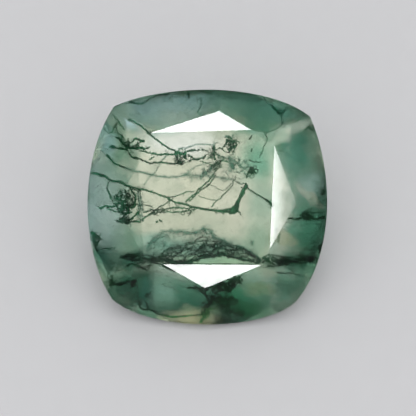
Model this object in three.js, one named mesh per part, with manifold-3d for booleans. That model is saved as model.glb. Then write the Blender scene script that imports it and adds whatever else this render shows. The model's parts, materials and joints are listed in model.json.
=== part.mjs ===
// A cushion-cut moss agate that lies on one of its lower facets. Millimetres, +Z up.
//
// The stone is laid out in a frame of its own, as a gem cutter sees it face up: u runs to the right
// across the table, v runs up it, and w points straight out of it. w = 0 is the height at which the
// crown facets run out at the girdle. A blank with four bowed sides is cut back by one flat plane
// after another, as on a faceting machine, and the finished stone is then tipped over on to its rest.
import * as THREE from "three";
import { mergeVertices } from "three/addons/utils/BufferGeometryUtils.js";
import Module from "manifold-3d";

const wasm = await Module();
wasm.setup();

// Heights and depths along w. The four main facets below the girdle aim at one point, CULET_DEPTH
// down, and CULET_TRIM is taken off that point to leave a small flat culet.
const TABLE_HEIGHT = 1.9;
const STAR_APEX_HEIGHT = 1.45;
const GIRDLE_THICKNESS = 0.35;
const CULET_DEPTH = 4.75;
const CULET_TRIM = 0.25;

// Slopes away from the table, in degrees.
const CORNER_FACET_SLOPE = 12;
const GIRDLE_FACET_SLOPE = 47;
const LOWER_CORNER_SLOPE = 38.5;

// Places along a side's curve, from its start to its end. The crown facets of each half side run out
// at w = 0 at its quarter, where the girdle is at its thinnest.
const NEAR_QUARTER = 0.25;
const MIDDLE = 0.5;
const FAR_QUARTER = 0.75;

const CURVE_STEPS = 20;
const BLANK_MARGIN = 1;
const CUTTER_SIZE = 40;

// The four corners of the girdle, as [u, v].
const TOP_LEFT = [-5.45, 5.88];
const BOTTOM_LEFT = [-5.54, -5.36];
const BOTTOM_RIGHT = [5.12, -5.52];
const TOP_RIGHT = [5.98, 5.29];

// The left, bottom, right and top sides, in order round the stone as seen face up. Each bows out from
// start to end as one curve pulled by two handles. Its star facet meets the table along tableEdge and
// comes down to a point at apex. The left star is out of sight in the photo, so its apex is a guess.
const SIDES = [
  {
    start: TOP_LEFT,
    handles: [[-7.53, 2.84], [-7.46, -2.56]],
    end: BOTTOM_LEFT,
    tableEdge: [[-4.01, 2.48], [-3.69, -2.91]],
    apex: [-5.22, 0.26],
  },
  {
    start: BOTTOM_LEFT,
    handles: [[-3.4, -7.24], [3.06, -7.32]],
    end: BOTTOM_RIGHT,
    tableEdge: [[-2.57, -3.28], [3.16, -3.32]],
    apex: [-0.15, -4.67],
  },
  {
    start: BOTTOM_RIGHT,
    handles: [[7.5, -2.81], [7.37, 2.22]],
    end: TOP_RIGHT,
    tableEdge: [[3.6, -2.38], [3.87, 3.59]],
    apex: [5.15, 0.22],
  },
  {
    start: TOP_RIGHT,
    handles: [[3.51, 7.34], [-2.7, 7.23]],
    end: TOP_LEFT,
    tableEdge: [[2.54, 4.48], [-3.31, 4.31]],
    apex: [0.68, 5.59],
  },
];

// Which of the sides has the main facet that the stone lies on.
const RESTING_SIDE = 1;

const STONE_COLOUR = 0x8fa99a;
const STONE_ROUGHNESS = 0.12;

const UP = new THREE.Vector3(0, 0, 1);
const DOWN = new THREE.Vector3(0, 0, -1);

// The point [u, v] at a height w.
function at([u, v], w) {
  return new THREE.Vector3(u, v, w);
}

// The point of a side's curve at t, which runs from 0 to 1, as [u, v].
function alongSide(side, t) {
  const [start, first, second, end] = [side.start, ...side.handles, side.end].map(([u, v]) => {
    return new THREE.Vector2(u, v);
  });
  const point = new THREE.CubicBezierCurve(start, first, second, end).getPoint(t);
  return [point.x, point.y];
}

// A cutting plane through three points, facing away from the inside of the stone.
function planeThrough(a, b, c) {
  const plane = new THREE.Plane().setFromCoplanarPoints(a, b, c);
  return plane.distanceToPoint(new THREE.Vector3()) > 0 ? plane.negate() : plane;
}

// A cutting plane that leaves the level line from a to b outwards and downwards (or upwards, below
// the girdle, where the slope is negative).
function planeFromEdge(a, b, slopeDegrees) {
  const outward = new THREE.Vector3().subVectors(b, a).cross(UP).normalize();
  if (outward.dot(a) < 0) outward.negate();
  const slope = THREE.MathUtils.degToRad(slopeDegrees);
  const lean = Math.sign(slope) * Math.cos(slope);
  const normal = outward.multiplyScalar(Math.abs(Math.sin(slope))).addScaledVector(UP, lean);
  return new THREE.Plane().setFromNormalAndCoplanarPoint(normal, a);
}

function asSolid(geometry) {
  const bare = geometry.index ? geometry.toNonIndexed() : geometry.clone();
  bare.deleteAttribute("normal");
  bare.deleteAttribute("uv");
  const merged = mergeVertices(bare);
  const mesh = new wasm.Mesh({
    numProp: 3,
    vertProperties: new Float32Array(merged.attributes.position.array),
    triVerts: new Uint32Array(merged.index.array),
  });
  return new wasm.Manifold(mesh);
}

function asGeometry(solid) {
  const { vertProperties, triVerts } = solid.getMesh();
  const geometry = new THREE.BufferGeometry();
  geometry.setAttribute("position", new THREE.BufferAttribute(vertProperties, 3));
  geometry.setIndex(new THREE.BufferAttribute(triVerts, 1));
  return geometry;
}

// Everything outside a cutting plane, as a block that stands on it.
function cutterOn(plane) {
  const block = new THREE.BoxGeometry(CUTTER_SIZE, CUTTER_SIZE, CUTTER_SIZE);
  block.translate(0, 0, CUTTER_SIZE / 2);
  block.applyQuaternion(new THREE.Quaternion().setFromUnitVectors(UP, plane.normal));
  const foot = plane.coplanarPoint(new THREE.Vector3());
  block.translate(foot.x, foot.y, foot.z);
  return asSolid(block);
}

// The blank: the girdle's outline, taller than the finished stone.
function makeBlank() {
  const outline = new THREE.Shape();
  outline.moveTo(...TOP_LEFT);
  for (const { handles, end } of SIDES) outline.bezierCurveTo(...handles[0], ...handles[1], ...end);
  const depth = TABLE_HEIGHT + CULET_DEPTH + 2 * BLANK_MARGIN;
  const blank = new THREE.ExtrudeGeometry(outline, {
    depth,
    bevelEnabled: false,
    curveSegments: CURVE_STEPS,
  });
  return blank.translate(0, 0, -CULET_DEPTH - BLANK_MARGIN);
}

// The planes of the crown: the table, then each side's star, its two bezels and the small facet that
// takes off the table's corner between this side and the next.
function crownPlanes() {
  const table = new THREE.Plane().setFromNormalAndCoplanarPoint(UP, at([0, 0], TABLE_HEIGHT));
  const planes = [table];
  SIDES.forEach((side, index) => {
    const next = SIDES[(index + 1) % SIDES.length];
    const [edgeStart, edgeEnd] = side.tableEdge.map((point) => at(point, TABLE_HEIGHT));
    const apex = at(side.apex, STAR_APEX_HEIGHT);
    planes.push(planeThrough(edgeStart, edgeEnd, apex));
    planes.push(planeThrough(edgeStart, apex, at(alongSide(side, NEAR_QUARTER), 0)));
    planes.push(planeThrough(edgeEnd, apex, at(alongSide(side, FAR_QUARTER), 0)));
    planes.push(planeFromEdge(edgeEnd, at(next.tableEdge[0], TABLE_HEIGHT), CORNER_FACET_SLOPE));
  });
  return planes;
}

// The main facet of a side runs from the middle of the side down to the culet. The four mains face
// square to each other, starting with the left one.
function mainPlane(index) {
  const middle = at(alongSide(SIDES[index], MIDDLE), -GIRDLE_THICKNESS);
  const culet = at([0, 0], -CULET_DEPTH);
  const across = new THREE.Vector3(0, -1, 0).applyAxisAngle(UP, (index * Math.PI) / 2);
  return planeThrough(middle, culet, culet.clone().add(across));
}

// The planes below the girdle: the mains, the corner mains, two girdle facets a side and the culet.
function pavilionPlanes() {
  const culetFlat = at([0, 0], CULET_TRIM - CULET_DEPTH);
  const planes = [new THREE.Plane().setFromNormalAndCoplanarPoint(DOWN, culetFlat)];
  SIDES.forEach((side, index) => {
    planes.push(mainPlane(index));
    const corner = at(side.end, -GIRDLE_THICKNESS);
    const along = new THREE.Vector3(-corner.y, corner.x, 0);
    planes.push(planeFromEdge(corner, corner.clone().add(along), -LOWER_CORNER_SLOPE));
    const middle = at(alongSide(side, MIDDLE), 0);
    for (const [t, far] of [[NEAR_QUARTER, side.start], [FAR_QUARTER, side.end]]) {
      const quarter = at(alongSide(side, t), -GIRDLE_THICKNESS);
      const strike = new THREE.Vector3().subVectors(at(far, 0), middle);
      planes.push(planeFromEdge(quarter, quarter.clone().add(strike), -GIRDLE_FACET_SLOPE));
    }
  });
  return planes;
}

function makeStone() {
  const cutters = [...crownPlanes(), ...pavilionPlanes()].map(cutterOn);
  const solid = cutters.reduce((left, cutter) => left.subtract(cutter), asSolid(makeBlank()));
  const material = new THREE.MeshStandardMaterial({
    color: STONE_COLOUR,
    roughness: STONE_ROUGHNESS,
    metalness: 0,
    flatShading: true,
  });
  const stone = new THREE.Mesh(asGeometry(solid), material);
  stone.name = "moss_agate";
  return stone;
}

// The stone is tipped until its resting facet faces straight down.
const stone = makeStone();
stone.quaternion.setFromUnitVectors(mainPlane(RESTING_SIDE).normal, DOWN);

// The part's origin is the middle of its box, on the surface that it lies on.
const part = new THREE.Group();
part.add(stone);
const box = new THREE.Box3().setFromObject(part, true);
stone.position.set(-(box.min.x + box.max.x) / 2, -(box.min.y + box.max.y) / 2, -box.min.z);

export default part;
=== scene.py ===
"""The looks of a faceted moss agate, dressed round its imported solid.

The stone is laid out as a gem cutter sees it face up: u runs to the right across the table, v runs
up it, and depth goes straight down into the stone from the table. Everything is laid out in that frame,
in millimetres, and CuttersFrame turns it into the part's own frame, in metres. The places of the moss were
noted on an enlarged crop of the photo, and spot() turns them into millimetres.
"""

import json
import logging
import math
import random
from dataclasses import dataclass, field
from enum import Enum
from typing import ClassVar, Sequence

import bpy
from mathutils import Matrix, Vector
from mathutils.bvhtree import BVHTree


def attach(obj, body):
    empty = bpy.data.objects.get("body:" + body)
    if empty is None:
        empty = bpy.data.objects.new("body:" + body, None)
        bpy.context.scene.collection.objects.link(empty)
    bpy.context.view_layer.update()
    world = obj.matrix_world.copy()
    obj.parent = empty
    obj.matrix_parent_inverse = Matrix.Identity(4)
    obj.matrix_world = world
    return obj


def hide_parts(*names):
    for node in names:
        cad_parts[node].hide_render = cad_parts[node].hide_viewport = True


LOG = logging.getLogger("moss_agate")
MM = 0.001

# How many pixels the photo has each way, and how large one is on the stone.
PHOTO_PIXELS = 416
PHOTO_PIXEL_MM = 0.058333

# The enlarged crop that the moss was noted on has six units to a pixel, counted from its upper left
# corner. That corner's place on the stone is given here in millimetres, and the table's edges in units.
CROP_UNIT_MM = 0.0097222
CROP_LEFT_MM = -7.1458
CROP_TOP_MM = 7.4375
TABLE_LEFT = 330
TABLE_RIGHT = 1115
TABLE_TOP = 290
TABLE_BOTTOM = 1112

# Strands that lie wholly under the sloping crown facets stay this near the surface, in millimetres.
CROWN_DEPTH = 0.1

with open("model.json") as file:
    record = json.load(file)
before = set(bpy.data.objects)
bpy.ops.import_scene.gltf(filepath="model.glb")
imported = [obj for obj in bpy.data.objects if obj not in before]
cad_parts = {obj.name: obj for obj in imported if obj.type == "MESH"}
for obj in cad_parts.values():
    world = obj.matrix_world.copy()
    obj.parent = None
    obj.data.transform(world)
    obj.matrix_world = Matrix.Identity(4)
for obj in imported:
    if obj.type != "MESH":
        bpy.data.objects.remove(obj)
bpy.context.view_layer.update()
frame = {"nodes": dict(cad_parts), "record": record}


def linear(red: float, green: float, blue: float) -> tuple[float, float, float, float]:
    """Turn a display colour into the linear colour that a shader takes.

    Args:
        red: Red, from 0 to 255.
        green: Green, from 0 to 255.
        blue: Blue, from 0 to 255.

    Returns:
        The linear colour, with an alpha of 1.
    """
    values = []
    for part in (red, green, blue):
        share = part / 255
        values.append(share / 12.92 if share <= 0.04045 else ((share + 0.055) / 1.055) ** 2.4)
    return (values[0], values[1], values[2], 1.0)


def deselect_all() -> None:
    """Leave nothing selected, so that an operator acts on the new piece alone."""
    for item in bpy.context.selected_objects:
        item.select_set(False)


def make_active(item: bpy.types.Object) -> None:
    """Select one object alone and make it the active one.

    Args:
        item: The object that the next operators act on.
    """
    deselect_all()
    item.select_set(True)
    bpy.context.view_layer.objects.active = item


def apply_modifiers(item: bpy.types.Object) -> None:
    """Apply every modifier of an object, in order.

    Args:
        item: The object, whose mesh takes the modifiers' shape.
    """
    make_active(item)
    for modifier in list(item.modifiers):
        bpy.ops.object.modifier_apply(modifier=modifier.name)


@dataclass(frozen=True)
class CuttersFrame:
    """The stone as its cutter sees it, face up.

    Attributes:
        table_middle: The middle of the table, in metres in the part's frame.
        out: The direction straight out of the table.
        up: The direction up the table, as it is seen face up.
        right: The direction to the right across the table.
    """

    table_middle: Vector
    out: Vector
    up: Vector
    right: Vector

    @classmethod
    def from_record(cls, record: dict) -> "CuttersFrame":
        """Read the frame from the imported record's mount on the table.


        Returns:
            The cutter's frame.
        """
        mount = next(item for item in record["mounts"] if item["name"] == "table_face")
        out = Vector(mount["axis"]).normalized()
        right = Vector((1, 0, 0))
        return cls(Vector(mount["pos_m"]), out, out.cross(right), right)

    def place(self, u: float, v: float, depth: float) -> Vector:
        """Turn a place in the cutter's frame into a point of the part's frame.

        Args:
            u: Millimetres to the right of the table's middle.
            v: Millimetres above the table's middle.
            depth: Millimetres below the table's plane.

        Returns:
            The point, in metres.
        """
        return self.table_middle + (self.right * u + self.up * v - self.out * depth) * MM

    def tilt(self) -> float:
        """The angle by which the stone is tipped about its right-hand direction, in radians."""
        return math.atan2(-self.out.y, self.out.z)


@dataclass(frozen=True)
class SeenPlace:
    """Finds what a person who looks straight at the table sees through the crown.

    A place just past the girdle is drawn in by the shares in DRAWN_IN, until one of them meets the crown.
    The search starts OVERHEAD millimetres above the table, and a facet is taken to face the viewer by
    LEAST_FACING at least.

    Attributes:
        cutters: The cutter's frame.
        shell: The surface of the stone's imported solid.
        bending: How much slower light runs in the stone than in air.
    """

    DRAWN_IN: ClassVar[tuple[float, ...]] = (1, 0.985, 0.97, 0.94, 0.9)
    OVERHEAD: ClassVar[float] = 5
    LEAST_FACING: ClassVar[float] = 0.05

    cutters: CuttersFrame
    shell: BVHTree
    bending: float

    @classmethod
    def through(cls, cutters: CuttersFrame, node: bpy.types.Object, bending: float) -> "SeenPlace":
        """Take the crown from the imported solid.

        Args:
            cutters: The cutter's frame.
            node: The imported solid.
            bending: The stone's index of refraction.

        Returns:
            The finder of places.
        """
        corners = [vertex.co.copy() for vertex in node.data.vertices]
        faces = [tuple(face.vertices) for face in node.data.polygons]
        return cls(cutters, BVHTree.FromPolygons(corners, faces), bending)

    def surface(self, u: float, v: float) -> tuple[Vector, Vector]:
        """Find the crown's surface under a place of the face-up view.

        Args:
            u: Millimetres to the right of the table's middle.
            v: Millimetres above the table's middle.

        Returns:
            The point of the surface and the direction in which it faces.
        """
        for share in self.DRAWN_IN:
            start = self.cutters.place(u * share, v * share, -self.OVERHEAD)
            point, normal, _, _ = self.shell.ray_cast(start, -self.cutters.out)
            if point is not None:
                return point, normal
        raise ValueError(f"there is no crown under {u}, {v}")

    def beneath(self, u: float, v: float, depth: float) -> Vector:
        """Find the point that is seen at a place, some way below the crown's surface.

        Args:
            u: Millimetres to the right of the table's middle.
            v: Millimetres above the table's middle.
            depth: Millimetres below the surface, straight down into the stone.

        Returns:
            The point, in metres.
        """
        point, normal = self.surface(u, v)
        ratio = 1 / self.bending
        facing = max(normal.dot(self.cutters.out), self.LEAST_FACING)
        bent = math.sqrt(1 - ratio * ratio * (1 - facing * facing))
        ray = -self.cutters.out * ratio + normal * (ratio * facing - bent)
        return point + ray * (depth * MM / -ray.dot(self.cutters.out))

    def kept_inside(self, point: Vector, margin: float) -> Vector:
        """Move a point that lies outside the stone, or too near its surface, back into it.

        Args:
            point: The point, in metres.
            margin: How far under the surface it has to lie, in millimetres.

        Returns:
            The point, moved only if it had to be.
        """
        for _ in range(3):
            nearest, normal, _, _ = self.shell.find_nearest(point)
            if (point - nearest).dot(normal) < -margin * MM:
                break
            point = nearest - normal * (margin * 1.2 * MM)
        return point


class NodeBench:
    """A small workbench for laying out one node tree."""

    def __init__(self, tree: bpy.types.NodeTree) -> None:
        """Take over a node tree.

        Args:
            tree: The tree that the nodes are added to.
        """
        self.tree = tree

    def add(self, kind: str, **settings: object) -> bpy.types.Node:
        """Add a node and set its own settings.

        Args:
            kind: The node's type, such as ShaderNodeMath.
            **settings: Attributes of the node and their values.

        Returns:
            The new node.
        """
        node = self.tree.nodes.new(kind)
        for name, value in settings.items():
            setattr(node, name, value)
        return node

    def put(self, socket: bpy.types.NodeSocket, value: object) -> None:
        """Feed an input socket from another node's output, or set its value.

        Args:
            socket: The input socket.
            value: An output socket to link, or a plain value.
        """
        if isinstance(value, bpy.types.NodeSocket):
            self.tree.links.new(value, socket)
        else:
            socket.default_value = value

    def maths(self, job: str, first: object, second: object = 0.0) -> bpy.types.NodeSocket:
        """Add a sum on two numbers.

        Args:
            job: The Math node's operation.
            first: The first number, plain or an output socket.
            second: The second number, plain or an output socket.

        Returns:
            The socket that holds the result.
        """
        node = self.add("ShaderNodeMath", operation=job)
        self.put(node.inputs[0], first)
        self.put(node.inputs[1], second)
        return node.outputs[0]

    def vector_maths(self, job: str, first: object, second: object) -> bpy.types.Node:
        """Add a sum on two vectors.

        Args:
            job: The Vector Math node's operation.
            first: The first vector, plain or an output socket.
            second: The second vector, plain or an output socket.

        Returns:
            The node, whose outputs hold the result.
        """
        node = self.add("ShaderNodeVectorMath", operation=job)
        self.put(node.inputs[0], first)
        self.put(node.inputs[1], second)
        return node

    def noise(self, place: object, scale: float, detail: float, rough: float = 0.5) -> bpy.types.Node:
        """Add a cloudy noise.

        Args:
            place: The coordinates that it reads.
            scale: How many clouds fit in one unit of them.
            detail: How many finer layers it has.
            rough: How strong the finer layers are.

        Returns:
            The noise node.
        """
        node = self.add("ShaderNodeTexNoise")
        self.put(node.inputs["Vector"], place)
        self.put(node.inputs["Scale"], scale)
        self.put(node.inputs["Detail"], detail)
        self.put(node.inputs["Roughness"], rough)
        return node

    def span(
        self, value: object, low: float, high: float, start: float, end: float
    ) -> bpy.types.NodeSocket:
        """Map a number from one range to another, smoothly and without overshoot.

        Args:
            value: The number.
            low: Where the range begins.
            high: Where it ends.
            start: What low becomes.
            end: What high becomes.

        Returns:
            The socket that holds the result.
        """
        node = self.add("ShaderNodeMapRange", interpolation_type="SMOOTHSTEP")
        names = ("Value", "From Min", "From Max", "To Min", "To Max")
        for name, item in zip(names, (value, low, high, start, end)):
            self.put(node.inputs[name], item)
        return node.outputs["Result"]

    def blend(self, share: object, first: object, second: object, way: str = "MIX") -> bpy.types.NodeSocket:
        """Mix two colours.

        Args:
            share: How much of the second colour is taken.
            first: The first colour.
            second: The second colour.
            way: The Mix node's blend type.

        Returns:
            The socket that holds the mixed colour.
        """
        node = self.add("ShaderNodeMix", data_type="RGBA", blend_type=way)
        self.put(node.inputs["Factor"], share)
        self.put(node.inputs[6], first)
        self.put(node.inputs[7], second)
        return node.outputs[2]


def start_material(name: str) -> tuple[bpy.types.Material, NodeBench, bpy.types.Node, bpy.types.NodeSocket]:
    """Start a material from a plain Principled shader.

    Args:
        name: What the material is called.

    Returns:
        The material, its workbench, its shader and the socket that holds the object's own coordinates.
    """
    material = bpy.data.materials.new(name)
    material.use_nodes = True
    bench = NodeBench(material.node_tree)
    where = bench.add("ShaderNodeTexCoord").outputs["Object"]
    return material, bench, material.node_tree.nodes["Principled BSDF"], where


@dataclass(frozen=True)
class ColourCloud:
    """A soft patch of colour in the stone, laid out in the cutter's frame; the stains and the pale streaks
    are such patches.

    Attributes:
        middle: Where it lies, as (u, v) in millimetres.
        reach: How far it reaches each way, in millimetres.
        colour: Its display colour.
        strength: How much of the stone's own colour it takes over.
        turn: How far it is turned, in degrees anticlockwise.
    """

    middle: tuple[float, float]
    reach: tuple[float, float]
    colour: tuple[int, int, int]
    strength: float
    turn: float = 0.0

    def over(self, bench: NodeBench, place: object, colour: object) -> bpy.types.NodeSocket:
        """Lay the patch over a colour.

        Args:
            bench: The workbench of the tree that it is drawn in.
            place: The coordinates, in the cutter's frame in millimetres.
            colour: The colour under it.

        Returns:
            The socket that holds the colour with the patch over it.
        """
        local = bench.add("ShaderNodeMapping", vector_type="TEXTURE")
        bench.put(local.inputs["Vector"], place)
        local.inputs["Location"].default_value = (*self.middle, 0.0)
        local.inputs["Rotation"].default_value = (0.0, 0.0, math.radians(self.turn))
        local.inputs["Scale"].default_value = (*self.reach, 1000.0)
        away = bench.vector_maths("LENGTH", local.outputs[0], (0, 0, 0)).outputs["Value"]
        share = bench.span(away, 0.25, 1.35, self.strength, 0.0)
        return bench.blend(share, colour, linear(*self.colour))


@dataclass(frozen=True)
class ClearAgate:
    """The see-through chalcedony: polished outside and faintly clouded inside.

    Attributes:
        bending: Its index of refraction.
        haze: How much it blurs what lies deep inside, as a roughness.
        see_through: How much of the light goes in, as a share.
        half_width: How far the rim lies from the middle along u, in millimetres.
        half_height: How far it lies from the middle along v, in millimetres.
        wander: How far the stains' edges wander, in millimetres.
        paleness: The display colour of the stone where no stain lies.
        crown_shade_green: The display colour of the patches under the crown facets, partly painted shade.
        mottle_green: The display colour that darkens the finer mottling.
        rim_shade_green: The display colour of the painted shade that darkens the rim.
        absorbing: The display colour that a thick piece turns light into.
        density: How strongly it does so, per metre.
        clouds: The stains.
        streaks_and_painted_light: The pale streaks that run out to the rim over them, partly painted light.
    """

    bending: float = 1.54
    haze: float = 0.29
    see_through: float = 1.0
    half_width: float = 6.98
    half_height: float = 6.8
    wander: float = 1.8
    paleness: tuple[int, int, int] = (206, 207, 186)
    # Painted shade for the darker look through the crown facets, laid over the stone's own green.
    crown_shade_green: tuple[int, int, int] = (84, 140, 112)
    mottle_green: tuple[int, int, int] = (112, 150, 128)
    # Painted shade that darkens the rim.
    rim_shade_green: tuple[int, int, int] = (50, 100, 78)
    absorbing: tuple[int, int, int] = (200, 236, 206)
    density: float = 8.0
    clouds: tuple[ColourCloud, ...] = (
        ColourCloud((0.0, -5.3), (6.8, 1.9), (28, 88, 60), 0.98),
        ColourCloud((6.1, -0.6), (1.6, 4.8), (42, 106, 80), 0.9),
        ColourCloud((-1.6, 3.7), (2.4, 0.9), (236, 238, 230), 0.9),
        ColourCloud((-6.0, -0.4), (1.5, 3.0), (204, 216, 220), 0.95),
        ColourCloud((-3.2, 5.7), (3.4, 1.2), (196, 232, 248), 0.9),
        ColourCloud((1.6, 6.1), (1.8, 1.0), (140, 204, 194), 0.95),
        ColourCloud((3.9, 5.6), (1.8, 1.2), (108, 182, 172), 0.95),
        ColourCloud((5.2, 3.4), (1.1, 1.9), (40, 110, 88), 0.95),
        ColourCloud((6.1, 1.3), (0.8, 0.9), (160, 196, 186), 0.85),
        ColourCloud((5.8, -1.3), (1.2, 1.4), (36, 104, 74), 0.95),
        ColourCloud((5.5, -3.4), (1.1, 1.1), (30, 82, 56), 0.95),
        ColourCloud((2.95, 2.7), (1.2, 1.5), (106, 166, 138), 0.9),
        ColourCloud((3.2, 0.2), (0.9, 1.5), (152, 180, 158), 0.85),
        ColourCloud((3.0, -1.9), (1.2, 1.0), (138, 172, 146), 0.8),
        ColourCloud((-6.2, -2.9), (0.9, 0.9), (34, 92, 76), 0.95),
        ColourCloud((-4.1, -4.7), (1.5, 1.5), (2, 50, 32), 0.98),
        ColourCloud((-2.3, -4.9), (0.9, 0.9), (96, 140, 112), 0.95),
        ColourCloud((1.2, -5.4), (1.4, 1.1), (18, 88, 48), 0.95),
        ColourCloud((2.4, -6.0), (1.3, 0.7), (12, 72, 34), 0.96),
        ColourCloud((3.2, -4.6), (1.0, 0.55), (112, 124, 84), 0.9),
        ColourCloud((5.1, -4.4), (1.2, 0.9), (40, 84, 60), 0.95),
        ColourCloud((0.3, -2.95), (3.7, 0.7), (146, 184, 148), 0.85),
        ColourCloud((-4.0, -2.95), (2.4, 0.6), (28, 84, 70), 0.9),
        ColourCloud((4.6, -3.15), (2.1, 0.4), (36, 84, 60), 0.85),
        ColourCloud((-6.0, 4.0), (0.8, 1.3), (150, 190, 206), 0.8),
        ColourCloud((6.2, -3.0), (0.7, 1.3), (30, 80, 56), 0.95),
        ColourCloud((-4.4, -1.8), (0.7, 0.9), (140, 174, 154), 0.85),
        ColourCloud((-2.7, -2.1), (1.6, 0.65), (128, 180, 164), 0.75),
        ColourCloud((-0.3, -2.3), (2.9, 0.6), (92, 146, 126), 0.75),
        ColourCloud((4.3, -1.9), (0.7, 0.5), (176, 168, 120), 0.7),
    )
    # Pale streaks out to the rim: partly painted light where the corner facets and ridges are lit, partly
    # pale stone.
    streaks_and_painted_light: tuple[ColourCloud, ...] = (
        ColourCloud((5.0, 4.6), (1.6, 0.4), (255, 252, 238), 0.98, 33.0),
        ColourCloud((-4.9, 4.7), (1.5, 0.34), (236, 238, 216), 0.5, -45.0),
        ColourCloud((-0.9, -6.35), (1.5, 0.6), (255, 240, 184), 0.98),
        ColourCloud((-6.7, 0.0), (0.5, 3.0), (206, 226, 232), 0.75),
        ColourCloud((-1.0, 6.0), (1.9, 0.5), (190, 236, 252), 0.7),
        ColourCloud((5.8, 0.7), (0.9, 0.24), (220, 210, 182), 0.6, -48.0),
        ColourCloud((-4.9, 5.4), (0.8, 0.5), (236, 248, 252), 0.65),
    )

    def outward(self, bench: NodeBench, place: object) -> bpy.types.NodeSocket:
        """Measure how far out a place lies, from 0 in the middle to 1 at the cushion-shaped rim.

        Args:
            bench: The workbench of the tree that it is drawn in.
            place: The coordinates, in the cutter's frame in millimetres.

        Returns:
            The socket that holds the measure.
        """
        parts = bench.add("ShaderNodeSeparateXYZ")
        bench.put(parts.inputs[0], place)
        powers = []
        for part, half in zip(parts.outputs, (self.half_width, self.half_height)):
            share = bench.maths("ABSOLUTE", bench.maths("DIVIDE", part, half))
            powers.append(bench.maths("POWER", share, 4.0))
        return bench.maths("POWER", bench.maths("ADD", *powers), 0.25)

    def tint_group(self, cutters: CuttersFrame) -> bpy.types.NodeTree:
        """Build the group that gives the stone's colour at each place, with painted shade and light in it.

        Args:
            cutters: The cutter's frame, in which the stains and streaks are laid out.

        Returns:
            The node group.
        """
        tree = bpy.data.node_groups.new("Agate tint", "ShaderNodeTree")
        tree.interface.new_socket("Place", in_out="INPUT", socket_type="NodeSocketVector")
        tree.interface.new_socket("Tint", in_out="OUTPUT", socket_type="NodeSocketColor")
        tree.interface.new_socket("Cloud", in_out="OUTPUT", socket_type="NodeSocketFloat")
        bench = NodeBench(tree)
        start = bench.add("NodeGroupInput").outputs[0]
        face_up = bench.add("ShaderNodeMapping")
        turn = Matrix.Rotation(-cutters.tilt(), 4, "X")
        bench.put(face_up.inputs["Vector"], start)
        face_up.inputs["Scale"].default_value = (1 / MM,) * 3
        face_up.inputs["Rotation"].default_value = (-cutters.tilt(), 0, 0)
        face_up.inputs["Location"].default_value = -(turn @ (cutters.table_middle / MM))
        place = face_up.outputs[0]
        drift = bench.noise(place, 0.55, 3.0)
        warp = bench.vector_maths("SUBTRACT", drift.outputs["Color"], (0.5, 0.5, 0.5)).outputs[0]
        warp = bench.vector_maths("MULTIPLY", warp, (self.wander, self.wander, 0.0)).outputs[0]
        warped = bench.vector_maths("ADD", place, warp).outputs[0]
        outward = self.outward(bench, place)
        # Green noise patches, only under the sloping crown facets: painted shade over the stone's own
        # patchy tone.
        patches = bench.noise(place, 0.5, 5.0, 0.62).outputs["Fac"]
        crown = bench.span(outward, 0.55, 0.7, 0.0, 1.0)
        share = bench.maths("MULTIPLY", bench.span(patches, 0.4, 0.58, 0.2, 0.9), crown)
        colour = bench.blend(share, linear(*self.paleness), linear(*self.crown_shade_green))
        for cloud in self.clouds:
            colour = cloud.over(bench, warped, colour)
        mottle = bench.noise(place, 1.4, 6.0, 0.6).outputs["Fac"]
        share = bench.span(mottle, 0.46, 0.72, 0.0, 0.5)
        colour = bench.blend(share, colour, linear(*self.mottle_green), "MULTIPLY")
        # Painted shade: darker towards the rim, which also hides the lit pad seen through the thin girdle.
        rim = bench.span(outward, 0.87, 0.98, 0.0, 0.8)
        colour = bench.blend(rim, colour, linear(*self.rim_shade_green), "MULTIPLY")
        # The pale streaks go on last, partly painted light.
        for ray in self.streaks_and_painted_light:
            colour = ray.over(bench, warped, colour)
        end = bench.add("NodeGroupOutput")
        bench.put(end.inputs["Tint"], colour)
        bench.put(end.inputs["Cloud"], mottle)
        return tree

    def material(self, cutters: CuttersFrame) -> bpy.types.Material:
        """Build the stone's material.

        Args:
            cutters: The cutter's frame.

        Returns:
            The material.
        """
        material, bench, shader, where = start_material("Polished moss agate")
        output = material.node_tree.nodes["Material Output"]
        tint = bench.add("ShaderNodeGroup", node_tree=self.tint_group(cutters))
        bench.put(tint.inputs["Place"], where)
        bench.put(shader.inputs["Base Color"], tint.outputs["Tint"])
        rough = bench.span(tint.outputs["Cloud"], 0.3, 0.7, self.haze - 0.05, self.haze + 0.07)
        bench.put(shader.inputs["Roughness"], rough)
        shader.inputs["IOR"].default_value = self.bending
        shader.inputs["Transmission Weight"].default_value = self.see_through
        shader.inputs["Coat Weight"].default_value = 1.0
        shader.inputs["Coat Roughness"].default_value = 0.02
        shader.inputs["Coat IOR"].default_value = 1.5
        inside = bench.add("ShaderNodeVolumeAbsorption")
        inside.inputs["Color"].default_value = linear(*self.absorbing)
        inside.inputs["Density"].default_value = self.density
        bench.put(output.inputs["Volume"], inside.outputs[0])
        return material


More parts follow.
